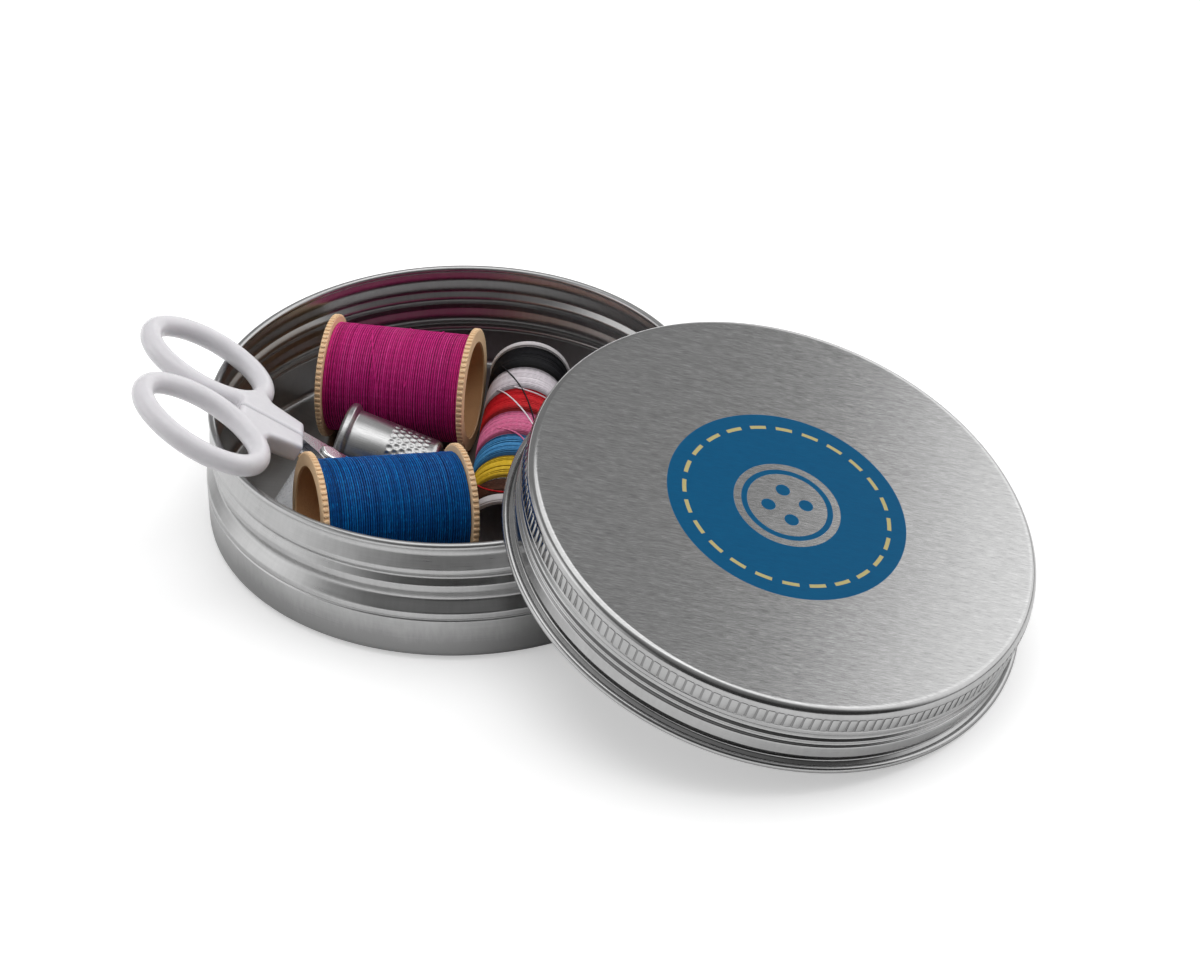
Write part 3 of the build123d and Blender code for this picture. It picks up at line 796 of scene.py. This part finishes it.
def thimble():
    """A rolled collar, a plain foot, a dimpled cone and a round tip."""
    collar = [(6.4, 0.08), (7.22, 0.04), (7.72, 0.52), (7.72, 1.34), (7.18, 1.84)]
    lower = bent(collar + [(6.80, 2.1), (CONE_RADIUS, CONE_FOOT)], [0.3, 0.4, 0.4, 0.3, 0.3])
    cone = [(CONE_RADIUS - CONE_TAPER * (z - CONE_FOOT), z) for z in np.arange(8.7, CONE_TOP, 0.15)]
    tip = bent([(5.93, CONE_TOP), (5.87, 17.85), (0, 17.85)], [1.3])
    inner = bent([(0, 17.4), (5.35, 17.4), (6.4, 2.0), (6.4, 0.05)], [0.8, 0.3])
    mesh = turned("thimble", lower + cone + tip + inner, AROUND)
    for vertex in mesh.vertices:
        radius = math.hypot(vertex.co.x, vertex.co.y)
        if CONE_FOOT < vertex.co.z < CONE_TOP + 0.05 and radius > 5.95:
            depth = dimple_depth(math.atan2(vertex.co.y, vertex.co.x), vertex.co.z)
            vertex.co.x *= 1 - depth / radius
            vertex.co.y *= 1 - depth / radius
    parts = [(mesh, THIMBLE_METAL)]
    finished("thimble_shell", parts, THIMBLE_PLACE, "thimble", ["thimble"], near_mm=0.001)


thimble()


# ---- scissors and packet: the solids' own shapes, softened where they are moulded ----
def copied(node):
    """A copy of a node's mesh in millimetres, with its loose triangles joined."""
    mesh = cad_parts[node].data.copy()
    mesh.transform(Matrix.Scale(1 / MM, 4))
    build = bmesh.new()
    build.from_mesh(mesh)
    bmesh.ops.remove_doubles(build, verts=build.verts[:], dist=0.002)
    build.to_mesh(mesh)
    build.free()
    mesh.materials.clear()
    needed = [a.name for a in mesh.attributes if a.name == "position" or a.is_internal or a.is_required]
    for name in [a.name for a in mesh.attributes if a.name not in needed]:
        mesh.attributes.remove(mesh.attributes[name])
    return mesh


def softened(mesh, voxel, rounds):
    """The mesh remade in small even faces and smoothed, as a moulding comes out."""
    carrier = bpy.data.objects.new("softened", mesh)
    bpy.context.scene.collection.objects.link(carrier)
    remesh = carrier.modifiers.new("remesh", "REMESH")
    remesh.mode, remesh.voxel_size = "VOXEL", voxel
    smooth = carrier.modifiers.new("smooth", "SMOOTH")
    smooth.factor, smooth.iterations = 0.5, rounds
    evaluated = carrier.evaluated_get(bpy.context.evaluated_depsgraph_get())
    soft = bpy.data.meshes.new_from_object(evaluated)
    bpy.data.objects.remove(carrier)
    return soft


for side in ("far", "near"):
    body, handle, blade = "scissors_" + side, "handle_" + side, "blade_" + side
    moulding = softened(copied(handle), voxel=0.22, rounds=22)
    finished(side + "_handle", [(moulding, PLASTIC)], UPRIGHT, body, [handle])
    finished(side + "_blade", [(copied(blade), BLADE_STEEL)], UPRIGHT, body, [blade], crease=25)
rivet_head = softened(copied("rivet"), voxel=0.09, rounds=6)
finished("rivet", [(rivet_head, RIVET_STEEL)], UPRIGHT, "scissors_far", ["rivet"])
packet = copied("clear_sleeve")
finished("clear_packet", [(packet, FILM)], UPRIGHT, "sleeve", ["clear_sleeve"], crease=25)


# ---- floor, light and camera ----
def light_room():
    """A dim room: a broad light low behind on the right, a soft one on the left and one overhead."""
    world = bpy.data.worlds.new("studio")
    bpy.context.scene.world = world
    world.use_nodes = True
    nodes = Nodes(world.node_tree)
    world.node_tree.nodes.clear()
    toward = nodes.add("ShaderNodeTexCoord", None, None, "Generated")
    apart = nodes.add("ShaderNodeSeparateXYZ", None, {0: toward})
    x, y, z = (apart.out(axis) for axis in "XYZ")
    bearing = x.math("ARCTAN2", y) * math.degrees(1)
    rise = z.math("ARCSINE") * math.degrees(1)
    behind = y.between(-0.6, 0.7)
    # The light overhead is weaker in reflections, so that brushed metal that faces it keeps its grey.
    mirrored = nodes.add("ShaderNodeLightPath", None, None, "Is Glossy Ray")
    overhead = z.between(0.80, 0.97) * (0.85 - mirrored * 0.60)
    box = (bearing - rise).between(-6.0, 0.5) * (1.0 - bearing.between(95.0, 125.0)) * rise.between(4.0, 12.0)
    leftward = 0.0 - bearing
    left = leftward.between(50.0, 75.0) * (1.0 - leftward.between(95.0, 158.0)) * rise.between(-6.0, 6.0)
    left = left * (1.0 - z.between(0.35, 0.65))
    high_front = z.between(0.50, 0.80) * (1.0 - behind)
    level = 0.06 + behind * 0.30 + high_front * 0.20 + overhead + box * 1.30 + left * 1.30
    seen = nodes.add("ShaderNodeLightPath", None, None, "Is Camera Ray")
    strength = nodes.add("ShaderNodeMix", {"data_type": "FLOAT"}, {0: seen, 2: level, 3: 1.0})
    shine = nodes.add("ShaderNodeBackground", None, {"Color": grey(1.0), "Strength": strength})
    nodes.add("ShaderNodeOutputWorld", None, {"Surface": shine})


def area_light(name, at, aim, size, power):
    lamp = bpy.data.lights.new(name, "AREA")
    lamp.shape, lamp.size, lamp.energy = "DISK", size, power
    holder = bpy.data.objects.new(name, lamp)
    holder.location = at
    holder.rotation_euler = (Vector(aim) - Vector(at)).to_track_quat("-Z", "Y").to_euler()
    bpy.context.scene.collection.objects.link(holder)


def pale_floor():
    """A pale floor that looks white to the camera; in reflections a shadow is painted into it close to the
    tin and the lid.
    """
    mesh = plain_mesh("floor", [(-3, -3, 0), (3, -3, 0), (3, 3, 0), (-3, 3, 0)], [(0, 1, 2, 3)])
    floor = bpy.data.objects.new("floor", mesh)
    bpy.context.scene.collection.objects.link(floor)
    floor.location.z = -0.0002
    material = bpy.data.materials.new("pale_floor")
    material.use_nodes = True
    nodes = Nodes(material.node_tree)
    material.node_tree.nodes.clear()
    path = nodes.add("ShaderNodeLightPath")
    spot = nodes.add("ShaderNodeTexCoord", None, None, "Object")
    apart = nodes.add("ShaderNodeSeparateXYZ", None, {0: spot})
    mirrored = path.out("Is Glossy Ray")
    # Painted shadow: in reflections the floor's glow fades close to the tin and the lid.
    for middle_x, middle_y in ((0.0, 0.0), (0.0525, -0.0383)):
        dx, dy = apart.out("X") - middle_x, apart.out("Y") - middle_y
        away = (dx * dx + dy * dy).math("SQRT").between(0.036, 0.064)
        mirrored = mirrored * (away * 0.8 + 0.2)
    seen = (path.out("Is Camera Ray") + path.out("Is Transmission Ray") + mirrored).math("MINIMUM", 1.0)
    matt = nodes.add("ShaderNodeBsdfDiffuse", None, {"Color": grey(0.82)})
    glow = nodes.add("ShaderNodeEmission", None, {"Color": grey(1.0), "Strength": seen * 0.42})
    both = nodes.add("ShaderNodeAddShader", None, {0: matt, 1: glow})
    nodes.add("ShaderNodeOutputMaterial", None, {"Surface": both})
    mesh.materials.append(material)


def camera():
    data = bpy.data.cameras.new("camera")
    data.lens, data.sensor_width, data.sensor_fit = 90.784, 36.0, "HORIZONTAL"
    data.clip_start, data.clip_end = 0.02, 20.0
    viewer = bpy.data.objects.new("camera", data)
    at, aim = Vector((0.0, -0.43883, 0.32326)), Vector((0.0255, 0.0060, 0.0))
    look = (aim - at).to_track_quat("-Z", "Y").to_matrix().to_4x4()
    viewer.matrix_world = Matrix.Translation(at) @ look @ Matrix.Rotation(math.radians(0.3795), 4, "Z")
    bpy.context.scene.collection.objects.link(viewer)
    bpy.context.scene.camera = viewer


light_room()
area_light("overhead", at=(-0.04, 0.12, 0.85), aim=(0.02, -0.01, 0.0), size=0.80, power=2.0)
area_light("left_fill", at=(-0.70, -0.10, 0.45), aim=(0.0, 0.0, 0.0), size=0.40, power=0.25)
pale_floor()
camera()

view = bpy.context.scene.view_settings
view.view_transform = "Standard"
